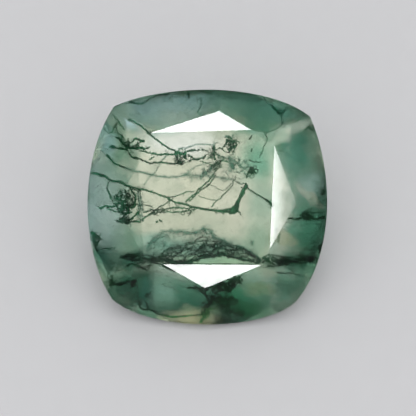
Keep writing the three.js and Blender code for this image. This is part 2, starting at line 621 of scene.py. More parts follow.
@dataclass(frozen=True)
class MossStain:
    """The mineral that the moss is made of: dull and crumbly, with painted shade in the hollows of its
    grain.

    Attributes:
        name: What the material is called.
        dark: The display colour of its darkest crumbs and of the painted shade in its hollows.
        light: The display colour of its palest crumbs.
    """

    name: str
    dark: tuple[int, int, int]
    light: tuple[int, int, int]

    def material(self) -> bpy.types.Material:
        """Build the material.

        Returns:
            The material.
        """
        material, bench, shader, where = start_material(self.name)
        patches = bench.noise(where, 1100.0, 4.0, 0.6).outputs["Fac"]
        # The grain also makes the bump, so its hollows come out darker: painted shade over the crumbs'
        # patchy tone.
        grain = bench.noise(where, 9000.0, 3.0).outputs["Fac"]
        coarse = bench.maths("MULTIPLY", patches, 0.6)
        hollow_shade = bench.maths("MULTIPLY", grain, 0.4)
        mixed = bench.maths("ADD", coarse, hollow_shade)
        share = bench.span(mixed, 0.38, 0.62, 0.0, 1.0)
        bench.put(shader.inputs["Base Color"], bench.blend(share, linear(*self.dark), linear(*self.light)))
        bench.put(shader.inputs["Roughness"], bench.span(grain, 0.3, 0.7, 0.55, 0.8))
        bump = bench.add("ShaderNodeBump")
        bump.inputs["Strength"].default_value = 0.5
        bump.inputs["Distance"].default_value = 0.01 * MM
        bench.put(bump.inputs["Height"], grain)
        bench.put(shader.inputs["Normal"], bump.outputs[0])
        return material


@dataclass
class Stone:
    """The cut stone itself.

    Attributes:
        cutters: The cutter's frame.
        finish: What it is made of.
        edge_wear: How far its facet edges are rounded, in millimetres.
        weld: How near two corners have to be to become one, in millimetres.
        flatness: Faces that differ by less than this are one facet, in degrees.
        edge_angle: Edges sharper than this are rounded, in degrees.
    """

    cutters: CuttersFrame
    finish: ClearAgate = field(default_factory=ClearAgate)
    edge_wear: float = 0.025
    weld: float = 0.002
    flatness: float = 0.4
    edge_angle: float = 7.0

    def build(self, node: bpy.types.Object) -> bpy.types.Object:
        """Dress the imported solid: whole facets again, with softly rounded edges.

        Args:
            node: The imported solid, which is copied and left alone.

        Returns:
            The finished stone.
        """
        make_active(node)
        bpy.ops.object.duplicate()
        stone = bpy.context.object
        stone.name = "cut_stone"
        bpy.ops.object.mode_set(mode="EDIT")
        bpy.ops.mesh.select_all(action="SELECT")
        bpy.ops.mesh.remove_doubles(threshold=self.weld * MM)
        bpy.ops.mesh.dissolve_limited(angle_limit=math.radians(self.flatness))
        bpy.ops.object.mode_set(mode="OBJECT")
        bevel = stone.modifiers.new("Edge wear", "BEVEL")
        bevel.width = self.edge_wear * MM
        bevel.segments = 2
        bevel.limit_method = "ANGLE"
        bevel.angle_limit = math.radians(self.edge_angle)
        flat = stone.modifiers.new("Flat facets", "WEIGHTED_NORMAL")
        flat.mode = "FACE_AREA"
        flat.weight = 60
        bpy.ops.object.shade_smooth()
        apply_modifiers(stone)
        stone.data.materials.clear()
        stone.data.materials.append(self.finish.material(self.cutters))
        return stone


class Habit(Enum):
    """How a strand grows.

    Each value holds its twigs per millimetre, their length in millimetres, its knobs per point, how far
    its thickness varies, its crumbs per millimetre and how far it wanders in millimetres.
    """

    BARE = (0.5, 0.14, 0.05, 0.16, 2.0, 0.012)
    BEADED = (2.4, 0.13, 0.24, 0.3, 7.0, 0.018)
    FEATHERY = (5.0, 0.3, 0.12, 0.28, 14.0, 0.05)

    def __init__(
        self, twigs: float, twig_length: float, knobs: float, roughness: float, crumbs: float, wander: float
    ) -> None:
        """Name the parts of the value.

        Args:
            twigs: How many side twigs it has per millimetre.
            twig_length: How long they are, in millimetres.
            knobs: The chance of a knob at each point.
            roughness: How far its thickness varies, as a share.
            crumbs: How many loose crumbs lie round it per millimetre.
            wander: How far it strays from its route, in millimetres.
        """
        self.twigs = twigs
        self.twig_length = twig_length
        self.knobs = knobs
        self.roughness = roughness
        self.crumbs = crumbs
        self.wander = wander


@dataclass(frozen=True)
class Thread:
    """One strand of moss.

    Attributes:
        route: The places it passes, as (u, v) in millimetres.
        depth: How deep it lies at its start and at its end, in millimetres below the surface.
        girth: Its thickness at its start and at its end, in millimetres.
        habit: How it grows.
    """

    route: tuple[tuple[float, float], ...]
    depth: tuple[float, float]
    girth: tuple[float, float]
    habit: Habit


@dataclass(frozen=True)
class Tuft:
    """A knot of short, crossing twigs with crumbs among them.

    Attributes:
        middle: Where it lies, as (u, v) in millimetres.
        depth: How deep it lies, in millimetres below the surface.
        reach: How far it reaches along u and v, in millimetres.
        twigs: How many twigs it has.
        crumbs: How many crumbs lie among them.
        girth: How thick its twigs are, in millimetres.
    """

    middle: tuple[float, float]
    depth: float
    reach: tuple[float, float]
    twigs: int
    crumbs: int
    girth: float = 0.045


@dataclass(frozen=True)
class Drift:
    """A soft, dense drift of crumbs along a route, deep in the stone.

    Attributes:
        route: The places it passes, as (u, v) in millimetres.
        depth: How deep it lies at its start and at its end, in millimetres below the surface.
        width: How far the crumbs stray at its start and at its end, in millimetres.
        crumbs: How many crumbs it has per millimetre of route.
        size: How big the crumbs are, in millimetres.
    """

    route: tuple[tuple[float, float], ...]
    depth: tuple[float, float]
    width: tuple[float, float]
    crumbs: float
    size: float = 0.06


@dataclass(frozen=True)
class Mat:
    """A net of strands that cross and part again between two edges, with gaps that show through.

    Attributes:
        upper: The upper edge, as (u, v) places in millimetres.
        lower: The lower edge, as (u, v) places in millimetres.
        depth: How deep it lies at its start and at its end, in millimetres below the surface.
        strands: How many strands it has.
        girth: How thick they are, in millimetres.
        gaps: The gaps, as (u, v, radius) in millimetres.
    """

    upper: tuple[tuple[float, float], ...]
    lower: tuple[tuple[float, float], ...]
    depth: tuple[float, float]
    strands: int
    girth: float
    gaps: tuple[tuple[float, float, float], ...] = ()


@dataclass
class MossBed:
    """One growth of moss: threads, tufts, nets and drifts that share a colour.

    Strands, twigs and drifts are laid in steps of STRAND_STEP, TWIG_STEP and DRIFT_STEP, and at least
    COVER of stone is left over all of them. The twigs of tufts are TUFT_TWIGS long, from the shortest to
    the longest, and the loose crumbs round a strand have half sizes within LOOSE_CRUMBS. All of these are
    in millimetres. A knob is thicker than its strand by a share within KNOBS, and the twigs of tufts turn
    by an angle within TUFT_CURLS at each step, in radians.

    Attributes:
        name: What its pieces are called.
        stain: What it is made of.
        seen: Finds places under the crown.
        seed: What its small chances start from.
        threads: Its strands.
        tufts: Its knots.
        mats: Its nets of strands.
        drifts: Its drifts of crumbs.
        runs: The strands that have grown, as points with half thicknesses in millimetres.
        crumbs: The crumbs that have grown, as points with half sizes in millimetres.
    """

    STRAND_STEP: ClassVar[float] = 0.06
    TWIG_STEP: ClassVar[float] = 0.07
    DRIFT_STEP: ClassVar[float] = 0.1
    COVER: ClassVar[float] = 0.05
    TUFT_TWIGS: ClassVar[tuple[float, float]] = (0.16, 0.55)
    TUFT_CURLS: ClassVar[tuple[float, float]] = (0.1, 0.75)
    KNOBS: ClassVar[tuple[float, float]] = (1.3, 1.7)
    LOOSE_CRUMBS: ClassVar[tuple[float, float]] = (0.016, 0.04)

    name: str
    stain: MossStain
    seen: SeenPlace
    seed: int
    threads: tuple[Thread, ...] = ()
    tufts: tuple[Tuft, ...] = ()
    mats: tuple[Mat, ...] = ()
    drifts: tuple[Drift, ...] = ()
    runs: list[list[tuple[Vector, float]]] = field(default_factory=list)
    crumbs: list[tuple[Vector, float]] = field(default_factory=list)

    def __post_init__(self) -> None:
        """Start the growth's own chances."""
        self.luck = random.Random(self.seed)

    def smooth_route(
        self, route: Sequence[tuple[float, float]], depth: tuple[float, float], step: float
    ) -> list[Vector]:
        """Turn a given route into closely spaced points of a smooth curve.

        Args:
            route: The places it passes, as (u, v) in millimetres.
            depth: Its depth at its start and at its end, in millimetres.
            step: The spacing of the points, in millimetres.

        Returns:
            The points, in metres.
        """
        count = len(route)
        marks = []
        for index, (u, v) in enumerate(route):
            along = index / max(count - 1, 1)
            marks.append(self.seen.beneath(u, v, depth[0] + (depth[1] - depth[0]) * along))
        first = marks[0] * 2 - marks[1]
        last = marks[-1] * 2 - marks[-2]
        marks = [first, *marks, last]
        points = []
        for a, b, c, d in zip(marks, marks[1:], marks[2:], marks[3:]):
            pieces = max(2, round((c - b).length / MM / step))
            for index in range(pieces):
                t = index / pieces
                bend = (2 * a - 5 * b + 4 * c - d) * t * t + (3 * b - a - 3 * c + d) * t ** 3
                points.append(0.5 * (2 * b + (c - a) * t + bend))
        points.append(marks[-2])
        return points

    def stray(self, flat: float, deep: float) -> Vector:
        """A small random offset, wide across the stone and less so into it.

        Args:
            flat: How far it strays across the stone, in millimetres.
            deep: How far it strays into the stone, in millimetres.

        Returns:
            The offset, in metres.
        """
        cutters = self.seen.cutters
        across = cutters.right * self.luck.gauss(0, flat) + cutters.up * self.luck.gauss(0, flat)
        return (across + cutters.out * self.luck.gauss(0, deep)) * MM

    def grow_twig(
        self,
        start: Vector,
        heading: Vector,
        length: float,
        girth: float,
        curl: float = 0.0,
        thinning: float = 0.7,
    ) -> None:
        """Grow one short, crooked twig.

        Args:
            start: Where it starts, in metres.
            heading: The direction it starts in.
            length: How long it is, in millimetres.
            girth: How thick it is at its start, in millimetres.
            curl: How far it turns at each step, in radians.
            thinning: How much thinner it is at its end, as a share.
        """
        turn = Matrix.Rotation(curl, 3, self.seen.cutters.out)
        steps = max(3, round(length / self.TWIG_STEP))
        run = [(start, girth / 2)]
        point = start
        for index in range(steps):
            heading = (turn @ heading + self.stray(0.28, 0.2) / MM).normalized()
            point = point + heading * (length * MM / steps)
            taper = 1 - thinning * (index + 1) / steps
            run.append((point, girth / 2 * taper * self.luck.uniform(0.6, 1.5)))
            if self.luck.random() < 0.3:
                self.crumbs.append((point + self.stray(0.02, 0.02), girth * self.luck.uniform(0.35, 0.7)))
        self.runs.append(run)

    def grow_thread(self, thread: Thread) -> None:
        """Grow a strand with its knobs, twigs and crumbs.

        Args:
            thread: The strand.
        """
        step = self.STRAND_STEP
        habit = thread.habit
        points = self.smooth_route(thread.route, thread.depth, step)
        count = len(points)
        run = []
        sway = Vector((0, 0, 0))
        for index, point in enumerate(points):
            along = index / max(count - 1, 1)
            girth = thread.girth[0] + (thread.girth[1] - thread.girth[0]) * along
            sway = sway * 0.75 + self.stray(habit.wander, habit.wander)
            knob = self.luck.uniform(*self.KNOBS) if self.luck.random() < habit.knobs else 1.0
            here = point + sway
            swell = 1 + self.luck.uniform(-habit.roughness, habit.roughness)
            run.append((here, girth / 2 * knob * swell))
            if self.luck.random() < habit.twigs * step:
                heading = self.stray(1, 0.4).normalized()
                length = habit.twig_length * self.luck.uniform(0.5, 1.5)
                self.grow_twig(here, heading, length, max(0.03, girth * 0.6))
            share = habit.crumbs * step
            while self.luck.random() < share:
                share -= 1
                near = self.stray(girth * 0.6, girth * 0.4)
                self.crumbs.append((here + near, self.luck.uniform(*self.LOOSE_CRUMBS)))
        self.runs.append(run)

    def grow_tuft(self, tuft: Tuft) -> None:
        """Grow a knot of crossing twigs.

        Args:
            tuft: The knot.
        """
        cutters = self.seen.cutters
        middle = self.seen.beneath(*tuft.middle, tuft.depth)
        for _ in range(tuft.twigs):
            angle = self.luck.uniform(0, math.tau)
            out = math.sqrt(self.luck.random())
            offset = cutters.right * (math.cos(angle) * out * tuft.reach[0])
            offset = offset + cutters.up * (math.sin(angle) * out * tuft.reach[1])
            offset = offset + cutters.out * self.luck.uniform(-0.12, 0.12)
            heading = self.stray(1.0, 0.3).normalized()
            length = self.luck.uniform(*self.TUFT_TWIGS)
            curl = self.luck.choice((-1, 1)) * self.luck.uniform(*self.TUFT_CURLS)
            girth = tuft.girth * self.luck.uniform(0.7, 1.3)
            self.grow_twig(middle + offset * MM * 0.85, heading, length, girth, curl, 0.25)
        for _ in range(tuft.crumbs):
            angle = self.luck.uniform(0, math.tau)
            out = self.luck.random() ** 0.6
            across = cutters.right * (math.cos(angle) * out * tuft.reach[0])
            across = across + cutters.up * (math.sin(angle) * out * tuft.reach[1])
            across = across + cutters.out * self.luck.uniform(-0.08, 0.08)
            self.crumbs.append((middle + across * MM, tuft.girth * self.luck.uniform(0.3, 0.85)))

    def weave_mat(self, mat: Mat) -> None:
        """Weave a net of strands between two edges.

        Args:
            mat: The net.
        """
        upper = [Vector(place) for place in mat.upper]
        lower = [Vector(place) for place in mat.lower]
        steps = 4 * (len(upper) - 1)
        for number in range(mat.strands):
            level = (number + 0.5) / mat.strands
            slope = self.luck.uniform(-0.9, 0.9)
            sway = 0.0
            first = 0 if number % 3 == 0 else self.luck.randrange(0, steps // 2)
            last = steps if number % 3 == 1 else self.luck.randrange(steps // 2, steps + 1)
            run = []
            for index in range(first, last + 1):
                along = index / steps
                sway = sway * 0.6 + self.luck.gauss(0, 0.1)
                height = min(max(level + slope * (along - 0.5) + sway, 0.0), 1.0)
                place = self.between(upper, along).lerp(self.between(lower, along), height)
                for u, v, radius in mat.gaps:
                    away = place - Vector((u, v))
                    if away.length < radius:
                        place = Vector((u, v)) + away.normalized() * radius
                depth = mat.depth[0] + (mat.depth[1] - mat.depth[0]) * self.luck.random()
                half = mat.girth / 2 * self.luck.uniform(0.6, 1.4)
                run.append((self.seen.beneath(place.x, place.y, depth), half))
            self.runs.append(run)

    @staticmethod
    def between(edge: Sequence[Vector], along: float) -> Vector:
        """Find the place some share of the way along an edge.

        Args:
            edge: The edge's places.
            along: The share, from 0 to 1.

        Returns:
            The place.
        """
        mark = min(along, 0.9999) * (len(edge) - 1)
        index = int(mark)
        return edge[index].lerp(edge[index + 1], mark - index)

    def lay_drift(self, drift: Drift) -> None:
        """Lay a drift of crumbs.

        Args:
            drift: The drift.
        """
        points = self.smooth_route(drift.route, drift.depth, self.DRIFT_STEP)
        count = len(points)
        for index, point in enumerate(points):
            along = index / max(count - 1, 1)
            width = drift.width[0] + (drift.width[1] - drift.width[0]) * along
            share = drift.crumbs * self.DRIFT_STEP
            while self.luck.random() < share:
                share -= 1
                place = point + self.stray(width, min(width, 0.35))
                self.crumbs.append((place, drift.size * self.luck.uniform(0.5, 1.3) / 2))

    def strands_mesh(self) -> bpy.types.Object:
        """Turn the grown strands into one mesh of closed, knobbly tubes.

        Returns:
            The mesh object.
        """
        deselect_all()
        bpy.ops.curve.primitive_nurbs_path_add()
        strands = bpy.context.object
        strands.name = self.name
        curve = strands.data
        curve.splines.clear()
        for run in self.runs:
            spline = curve.splines.new("POLY")
            spline.points.add(len(run) - 1)
            for mark, (point, half) in zip(spline.points, run):
                mark.co = (*self.seen.kept_inside(point, half + self.COVER), 1)
                mark.radius = half * 1.05
        curve.bevel_depth = MM
        curve.bevel_resolution = 0
        curve.use_fill_caps = True
        bpy.ops.object.convert(target="MESH")
        strands = bpy.context.object
        bpy.ops.object.mode_set(mode="EDIT")
        bpy.ops.mesh.select_all(action="SELECT")
        bpy.ops.mesh.normals_make_consistent(inside=False)
        bpy.ops.object.mode_set(mode="OBJECT")
        bpy.ops.object.shade_smooth()
        strands.data.materials.clear()
        strands.data.materials.append(self.stain.material())
        return strands

    def crumb(self) -> bpy.types.Object:
        """Model one crumb, a lopsided pebble of twenty faces.

        Returns:
            The pebble, with a radius of one unit.
        """
        deselect_all()
        bpy.ops.mesh.primitive_ico_sphere_add(subdivisions=1, radius=1.0)
        pebble = bpy.context.object
        bpy.ops.object.mode_set(mode="EDIT")
        bpy.ops.transform.vertex_random(offset=0.35, seed=self.seed % 1000)
        bpy.ops.object.mode_set(mode="OBJECT")
        return pebble

    def crumbs_mesh(self) -> bpy.types.Object:
        """Copy the crumb to every place where one lies, as one mesh.

        Returns:
            The mesh object.
        """
        pebble = self.crumb()
        deselect_all()
        bpy.ops.mesh.primitive_plane_add()
        bed = bpy.context.object
        bed.name = self.name + "_crumbs"
        mesh = bed.data
        mesh.clear_geometry()
        mesh.vertices.add(len(self.crumbs))
        kept = [self.seen.kept_inside(point, 1.4 * half + self.COVER) for point, half in self.crumbs]
        mesh.vertices.foreach_set("co", [part for point in kept for part in point])
        size = mesh.attributes.new("size", "FLOAT", "POINT")
        size.data.foreach_set("value", [half * MM for _, half in self.crumbs])
        turn = mesh.attributes.new("turn", "FLOAT_VECTOR", "POINT")
        turns = [self.luck.uniform(0, math.tau) for _ in range(3 * len(self.crumbs))]
        turn.data.foreach_set("vector", turns)
        scatter = bed.modifiers.new("Scatter", "NODES")
        scatter.node_group = self.scatter_group(pebble)
        apply_modifiers(bed)
        bpy.data.objects.remove(pebble)
        bed.data.materials.clear()
        bed.data.materials.append(self.stain.material())
        return bed

    @staticmethod
    def scatter_group(pebble: bpy.types.Object) -> bpy.types.NodeTree:
        """Build the nodes that set a crumb on every point and make them real.

        Args:
            pebble: The crumb that is copied.

        Returns:
            The node group.
        """
        tree = bpy.data.node_groups.new("Scatter crumbs", "GeometryNodeTree")
        tree.interface.new_socket("Geometry", in_out="INPUT", socket_type="NodeSocketGeometry")
        tree.interface.new_socket("Geometry", in_out="OUTPUT", socket_type="NodeSocketGeometry")
        bench = NodeBench(tree)
        points = bench.add("NodeGroupInput").outputs[0]
        info = bench.add("GeometryNodeObjectInfo")
        info.inputs["Object"].default_value = pebble
        size = bench.add("GeometryNodeInputNamedAttribute", data_type="FLOAT")
        size.inputs["Name"].default_value = "size"
        turn = bench.add("GeometryNodeInputNamedAttribute", data_type="FLOAT_VECTOR")
        turn.inputs["Name"].default_value = "turn"
        copies = bench.add("GeometryNodeInstanceOnPoints")
        bench.put(copies.inputs["Points"], points)
        bench.put(copies.inputs["Instance"], info.outputs["Geometry"])
        bench.put(copies.inputs["Rotation"], turn.outputs["Attribute"])
        bench.put(copies.inputs["Scale"], size.outputs["Attribute"])
        real = bench.add("GeometryNodeRealizeInstances")
        bench.put(real.inputs["Geometry"], copies.outputs["Instances"])
        end = bench.add("NodeGroupOutput")
        bench.put(end.inputs[0], real.outputs[0])
        return tree

    def build(self) -> list[bpy.types.Object]:
        """Grow the whole bed.

        Returns:
            Its finished pieces.
        """
        for thread in self.threads:
            self.grow_thread(thread)
        for tuft in self.tufts:
            self.grow_tuft(tuft)
        for mat in self.mats:
            self.weave_mat(mat)
        for drift in self.drifts:
            self.lay_drift(drift)
        pieces = []
        if self.runs:
            pieces.append(self.strands_mesh())
        if self.crumbs:
            pieces.append(self.crumbs_mesh())
        return pieces


class StarFacet(Enum):
    """The star facets that mirror a softbox, by a place on each as (u, v) in millimetres."""

    TOP = (0.2, 4.75)
    RIGHT = (4.1, 0.4)
    BOTTOM = (0.1, -3.7)


@dataclass
class Studio:
    """The pale table, the soft light and the camera.

    Attributes:
        cutters: The cutter's frame, which the camera looks straight down.
        seen: Finds the facets that mirror a light.
        picture_width: How much of the scene the picture spans, in millimetres.
        distance: How far the camera stands from the stone, in metres.
        sky: How bright the light from all round is.
        key: How bright the large softbox behind the camera is.
        pad: How bright the lit pad under the stone is.
        pad_side: How wide the lit pad is, in millimetres.
        star: How bright the softboxes that the star facets mirror are.
        star_width: How wide they look from the stone, in degrees.
        key_width: How wide the large softbox looks from the stone, in degrees.
        hanging: How far from the stone the softboxes hang, in metres.
        gap: How far the table top lies under the stone, in millimetres.
        mirrored_room: How bright the room looks where the stone mirrors it, as a share.
        aim: Where the camera points, as u, v and the depth below the table, in millimetres.
        sensor: How wide the camera's sensor is, in millimetres.
        table_colour: The display colour of the table.
    """

    cutters: CuttersFrame
    seen: SeenPlace
    picture_width: float = PHOTO_PIXELS * PHOTO_PIXEL_MM
    distance: float = 0.2
    sky: float = 1.25
    key: float = 0.7
    pad: float = 0.8
    pad_side: float = 80.0
    star: float = 16.0
    star_width: float = 12.0
    key_width: float = 50.0
    hanging: float = 0.3
    gap: float = 0.02
    mirrored_room: float = 0.03
    aim: tuple[float, float, float] = (0.03, -0.03, 1.9)
    sensor: float = 36.0
    table_colour: tuple[int, int, int] = (180, 180, 182)

    def lay_table(self) -> bpy.types.Object:
        """Lay the pale table top just under the stone.

        Returns:
            The table top.
        """
        deselect_all()
        bpy.ops.mesh.primitive_plane_add(size=1.2, location=(0, 0, -self.gap * MM))
        table = bpy.context.object
        table.name = "pale_table"
        material, bench, shader, where = start_material("Pale matt card")
        fibre = bench.noise(where, 900.0, 4.0).outputs["Fac"]
        share = bench.span(fibre, 0.3, 0.7, 0.0, 1.0)
        darker = linear(*(part - 1 for part in self.table_colour))
        bench.put(shader.inputs["Base Color"], bench.blend(share, darker, linear(*self.table_colour)))
        shader.inputs["Roughness"].default_value = 0.9
        shader.inputs["Specular IOR Level"].default_value = 0.1
        table.data.materials.append(material)
        table.visible_glossy = False
        return table

    def light_room(self) -> None:
        """Fill the room with an even, pale light."""
        world = bpy.data.worlds.new("Soft room")
        world.use_nodes = True
        background = world.node_tree.nodes["Background"]
        bench = NodeBench(world.node_tree)
        path = bench.add("ShaderNodeLightPath")
        outside = bench.maths("SUBTRACT", 1.0, path.outputs["Is Transmission Ray"])
        mirrored = bench.maths("MULTIPLY", path.outputs["Is Glossy Ray"], outside)
        white = (1.0, 1.0, 1.0, 1.0)
        dim = (self.mirrored_room, self.mirrored_room, self.mirrored_room, 1.0)
        bench.put(background.inputs["Color"], bench.blend(mirrored, white, dim))
        background.inputs["Strength"].default_value = self.sky
        bpy.context.scene.world = world

    def hang_softbox(
        self, name: str, aim: Vector, toward: Vector, width: float, brightness: float
    ) -> bpy.types.Object:
        """Hang a square softbox that faces the stone.

        Args:
            name: What it is called.
            aim: The place that it faces, in metres.
            toward: The direction from that place to it.
            width: How wide it looks from the stone, in degrees.
            brightness: How bright its face is.

        Returns:
            The light.
        """
        side = 2 * self.hanging * math.tan(math.radians(width / 2))
        deselect_all()
        bpy.ops.object.light_add(type="AREA", location=aim + toward.normalized() * self.hanging)
        lamp = bpy.context.object
        lamp.name = name
        back = toward.normalized()
        across = (self.cutters.right - back * back.dot(self.cutters.right)).normalized()
        lamp.rotation_euler = Matrix((across, back.cross(across), back)).transposed().to_euler()
        lamp.data.size = side
        lamp.data.energy = math.pi * side * side * brightness
        return lamp

    @staticmethod
    def fade(lamp: bpy.types.Object, start: float, end: float) -> None:
        """Let a softbox fade out across its face.

        Args:
            lamp: The light.
            start: Where it is still fully bright, as a share of its width.
            end: Where it has gone dark.
        """
        lamp.data.use_nodes = True
        bench = NodeBench(lamp.data.node_tree)
        across = bench.add("ShaderNodeSeparateXYZ")
        bench.put(across.inputs[0], bench.add("ShaderNodeNewGeometry").outputs["Parametric"])
        glow = lamp.data.node_tree.nodes["Emission"]
        bench.put(glow.inputs["Strength"], bench.span(across.outputs[0], start, end, 1.0, 0.04))

    def light_pad(self) -> None:
        """Lay a lit pad under the stone, as for photographing gems, that shows only through the stone."""
        deselect_all()
        bpy.ops.object.light_add(type="AREA", location=(0, 0, -self.gap / 2 * MM), rotation=(math.pi, 0, 0))
        pad = bpy.context.object
        pad.name = "light_pad"
        side = self.pad_side * MM
        pad.data.size = side
        pad.data.energy = math.pi * side * side * self.pad
        pad.visible_camera = False
        pad.visible_diffuse = False
        pad.visible_glossy = False

    def set_camera(self) -> bpy.types.Object:
        """Set the camera straight over the table facet, up the stone's own up.

        Returns:
            The camera.
        """
        deselect_all()
        bpy.ops.object.camera_add()
        camera = bpy.context.object
        aim = self.cutters.place(*self.aim)
        back = self.cutters.out
        turn = Matrix((self.cutters.right, self.cutters.up, back)).transposed()
        camera.location = aim + back * self.distance
        camera.rotation_euler = turn.to_euler()
        camera.data.sensor_width = self.sensor
        camera.data.lens = self.sensor * self.distance / (self.picture_width * MM)
        camera.data.clip_start = 0.01
        camera.data.clip_end = 10.0
        bpy.context.scene.camera = camera
        return camera

    def build(self) -> None:
        """Set up the whole studio."""
        self.lay_table()
        self.light_room()
        camera = self.set_camera()
        for star in StarFacet:
            point, facing = self.seen.surface(*star.value)
            back = (camera.location - point).normalized()
            toward = facing * (2 * facing.dot(back)) - back
            name = f"{star.name.lower()}_star_softbox"
            lamp = self.hang_softbox(name, point, toward, self.star_width, self.star)
            lamp.visible_diffuse = False
            lamp.visible_transmission = False
            if star is StarFacet.RIGHT:
                self.fade(lamp, 0.48, 0.52)
        middle = Vector((0, 0, 0))
        key = self.hang_softbox("lens_side_softbox", middle, self.cutters.out, self.key_width, self.key)
        key.visible_glossy = False
        self.light_pad()
        scene = bpy.context.scene
        scene.view_settings.view_transform = "Standard"
        scene.cycles.use_denoising = True
        scene.cycles.denoising_input_passes = "RGB"
        scene.cycles.max_bounces = 16
        scene.cycles.transmission_bounces = 12
        scene.cycles.sample_clamp_indirect = 2.0


def spot(x: float, y: float) -> tuple[float, float]:
    """Turn a place noted on the enlarged crop into a place on the stone.

    Args:
        x: Units to the right of the crop's left edge.
        y: Units below its upper edge.

    Returns:
        The place as (u, v), to a hundredth of a millimetre.
    """
    return (round(CROP_UNIT_MM * x + CROP_LEFT_MM, 2), round(CROP_TOP_MM - CROP_UNIT_MM * y, 2))


def route(*places: tuple[float, float]) -> tuple[tuple[float, float], ...]:
    """Turn the noted places of a route into places on the stone, each as (u, v) in millimetres."""
    return tuple(spot(x, y) for x, y in places)


def gap(x: float, y: float, radius: float) -> tuple[float, float, float]:
    """Turn a round gap noted on the crop into (u, v, radius) in millimetres."""
    return (*spot(x, y), round(CROP_UNIT_MM * radius, 2))


def near_strand(
    places: Sequence[tuple[float, float]],
    depth: tuple[float, float],
    girth: tuple[float, float],
    habit: Habit,
) -> Thread:
    """Make a strand of the near moss, kept shallow where it lies wholly under the crown facets.

    Args:
        places: The noted places that it passes.
        depth: How deep it lies at its start and at its end, in millimetres.
        girth: Its thickness at its start and at its end, in millimetres.
        habit: How it grows.

    Returns:
        The strand.
    """
    if all(x < TABLE_LEFT or x > TABLE_RIGHT or y < TABLE_TOP or y > TABLE_BOTTOM for x, y in places):
        depth = (min(depth[0], CROWN_DEPTH), min(depth[1], CROWN_DEPTH))
    return Thread(route(*places), depth, girth, habit)


